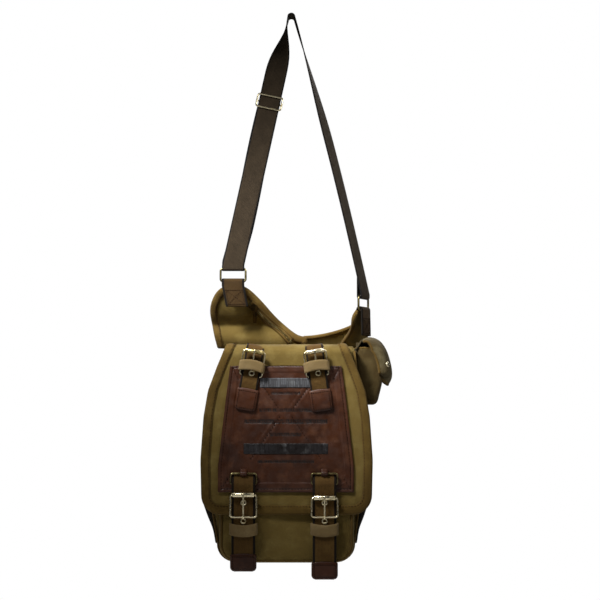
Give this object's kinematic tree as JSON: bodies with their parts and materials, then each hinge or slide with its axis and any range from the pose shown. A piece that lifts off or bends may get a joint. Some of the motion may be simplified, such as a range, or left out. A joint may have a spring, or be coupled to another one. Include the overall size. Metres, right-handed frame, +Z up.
{
  "type": "sling camera bag",
  "caption": "Canvas sling camera bag with winged back panel, front flap with leather patch, buckle straps, side pocket and an adjustable shoulder strap, hanging from its strap.",
  "frame": {"origin": "the point under the crown of the shoulder strap where it rests on the hook or peg that holds it", "axes": "+Z up, +X to the right seen from the front, -Y out of the front of the bag"},
  "size_m": [0.2723, 0.129, 0.8068],
  "materials": {
    "canvas": "heavy washed olive-khaki cotton canvas, matt",
    "binding": "brown herringbone binding tape, matt",
    "webbing": "brown ribbed cotton webbing with dark selvedges",
    "leather": "waxed dark chestnut leather, soft sheen",
    "brass": "antiqued brass-plated steel wire",
    "mesh_cloth": "near-black open mesh cloth",
    "foam": "brushed dark lining over foam",
    "board": "stiff black base board"
  },
  "bodies": {
    "strap": {"shoulder_webbing": "webbing", "strap_return": "webbing", "left_ring": "brass", "right_ring": "brass"},
    "slider": {"slider_frame": "brass"},
    "bag": {"back_panel": "canvas", "left_wing": "canvas", "right_wing": "canvas", "left_tab": "webbing", "right_tab": "webbing", "front_panel": "canvas", "left_gusset": "canvas", "right_gusset": "canvas", "bottom_panel": "canvas", "base_board": "board", "insert_front": "foam", "insert_back": "foam", "divider_left": "foam", "divider_right": "foam", "front_pocket": "canvas", "left_side_pocket": "mesh_cloth", "right_side_pocket": "mesh_cloth", "zip_tape": "binding", "accessory_pocket": "canvas"},
    "top_lid": {"top_panel": "canvas"},
    "zip_runner": {"zip_slider": "brass"},
    "zip_puller": {"zip_pull": "brass"},
    "accessory_lid": {"accessory_flap": "canvas", "accessory_snap": "brass"},
    "flap": {"flap_panel": "canvas", "flap_binding": "binding", "leather_patch": "leather", "upper_strap_left": "webbing", "upper_tip_left": "leather", "upper_frame_left": "brass", "upper_keeper_left": "webbing", "upper_strap_right": "webbing", "upper_tip_right": "leather", "upper_frame_right": "brass", "upper_keeper_right": "webbing"},
    "upper_roller_left": {"upper_roller_left": "brass"},
    "upper_prong_left": {"upper_prong_left": "brass"},
    "lower_strap_left": {"lower_ring_left": "brass", "lower_strap_left": "webbing", "lower_tip_left": "leather", "lower_frame_left": "brass", "lower_keeper_left": "webbing", "lower_snap_left": "brass"},
    "lower_roller_left": {"lower_roller_left": "brass"},
    "lower_prong_left": {"lower_prong_left": "brass"},
    "upper_roller_right": {"upper_roller_right": "brass"},
    "upper_prong_right": {"upper_prong_right": "brass"},
    "lower_strap_right": {"lower_ring_right": "brass", "lower_strap_right": "webbing", "lower_tip_right": "leather", "lower_frame_right": "brass", "lower_keeper_right": "webbing", "lower_snap_right": "brass"},
    "lower_roller_right": {"lower_roller_right": "brass"},
    "lower_prong_right": {"lower_prong_right": "brass"}
  },
  "joints": [
    {"name": "bag_swing", "type": "hinge", "parent": "strap", "child": "bag", "pos_m": [0.01, 0, -0.4105], "axis": [0.977, 0, -0.2131], "range_deg": [-12, 12], "deforming": ["left_tab", "right_tab"]},
    {"name": "strap_slider", "type": "slide", "parent": "strap", "child": "slider", "axis": [0.2131, 0.0091, 0.977], "range_m": [-0.08, 0.03], "deforming": ["strap_return"]},
    {"name": "flap_hinge", "type": "hinge", "parent": "bag", "child": "flap", "pos_m": [-0.006, -0.0575, -0.4825], "axis": [-1, 0, 0], "range_deg": [0, 110]},
    {"name": "top_lid_hinge", "type": "hinge", "parent": "bag", "child": "top_lid", "pos_m": [-0.008, -0.0495, -0.4875], "axis": [1, 0, 0], "range_deg": [0, 60]},
    {"name": "accessory_hinge", "type": "hinge", "parent": "bag", "child": "accessory_lid", "pos_m": [0.101, 0, -0.475], "axis": [0, -1, 0], "range_deg": [0, 70]},
    {"name": "zip_travel", "type": "slide", "parent": "bag", "child": "zip_runner", "axis": [0.6984, 0.3201, -0.6402], "range_m": [-0.004, 0.05]},
    {"name": "zip_pull_lift", "type": "hinge", "parent": "zip_runner", "child": "zip_puller", "pos_m": [-0.05315, 0.01185, -0.43111], "axis": [-1, 0, 0], "range_deg": [0, 60]},
    {"name": "upper_prong_left", "type": "hinge", "parent": "flap", "child": "upper_prong_left", "pos_m": [-0.05352, -0.0724, -0.51091], "axis": [0.9856, 0, -0.1692], "range_deg": [0, 80]},
    {"name": "upper_roller_left", "type": "hinge", "parent": "flap", "child": "upper_roller_left", "pos_m": [-0.0505, -0.0724, -0.49337], "axis": [0.9856, 0, -0.1692], "continuous": true},
    {"name": "upper_prong_right", "type": "hinge", "parent": "flap", "child": "upper_prong_right", "pos_m": [0.03528, -0.0724, -0.51095], "axis": [0.9916, 0, 0.1296], "range_deg": [0, 80]},
    {"name": "upper_roller_right", "type": "hinge", "parent": "flap", "child": "upper_roller_right", "pos_m": [0.03297, -0.0724, -0.4933], "axis": [0.9916, 0, 0.1296], "continuous": true},
    {"name": "lower_strap_left", "type": "hinge", "parent": "flap", "child": "lower_strap_left", "pos_m": [-0.0655, -0.0706, -0.662], "axis": [-1, 0, 0], "range_deg": [0, 75]},
    {"name": "lower_prong_left", "type": "hinge", "parent": "lower_strap_left", "child": "lower_prong_left", "pos_m": [-0.0655, -0.0751, -0.7215], "axis": [1, 0, 0], "range_deg": [0, 80]},
    {"name": "lower_roller_left", "type": "hinge", "parent": "lower_strap_left", "child": "lower_roller_left", "pos_m": [-0.0655, -0.0751, -0.6911], "axis": [1, 0, 0], "continuous": true},
    {"name": "lower_strap_right", "type": "hinge", "parent": "flap", "child": "lower_strap_right", "pos_m": [0.0465, -0.0706, -0.662], "axis": [-1, 0, 0], "range_deg": [0, 75]},
    {"name": "lower_prong_right", "type": "hinge", "parent": "lower_strap_right", "child": "lower_prong_right", "pos_m": [0.0465, -0.0751, -0.7215], "axis": [1, 0, 0], "range_deg": [0, 80]},
    {"name": "lower_roller_right", "type": "hinge", "parent": "lower_strap_right", "child": "lower_roller_right", "pos_m": [0.0465, -0.0751, -0.6951], "axis": [1, 0, 0], "continuous": true}
  ]
}
